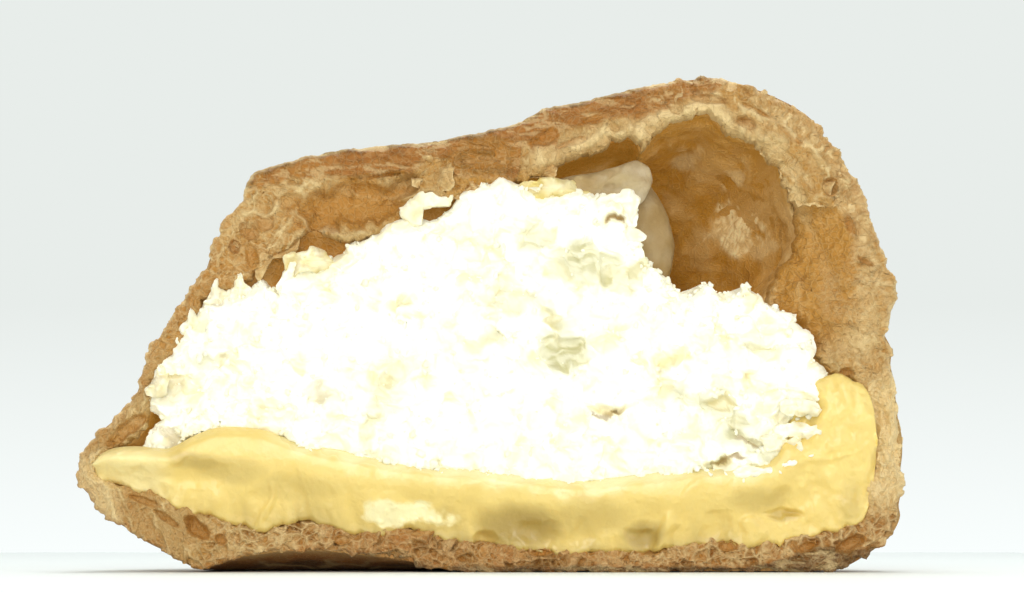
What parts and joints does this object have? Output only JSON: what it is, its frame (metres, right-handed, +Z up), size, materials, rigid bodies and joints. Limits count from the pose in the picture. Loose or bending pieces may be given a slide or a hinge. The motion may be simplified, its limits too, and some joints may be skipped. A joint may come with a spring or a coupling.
{
  "type": "cream puff",
  "caption": "Half of a baked choux puff, cut upright, showing a layer of custard and a heap of whipped cream under a hollow roof.",
  "frame": {"origin": "under the middle of the half puff, on the surface it rests on", "axes": "+X along the cut face, towards the tall side; the cut face looks along -Y; +Z up"},
  "size_m": [0.085, 0.043, 0.0512],
  "materials": {
    "choux": "golden brown baked pastry, porous and paler where cut",
    "custard": "smooth moist pale yellow custard",
    "cream": "torn whipped cream, nearly white"
  },
  "bodies": {
    "root": {"choux_shell": "choux", "custard": "custard", "whipped_cream": "cream"}
  },
  "joints": []
}
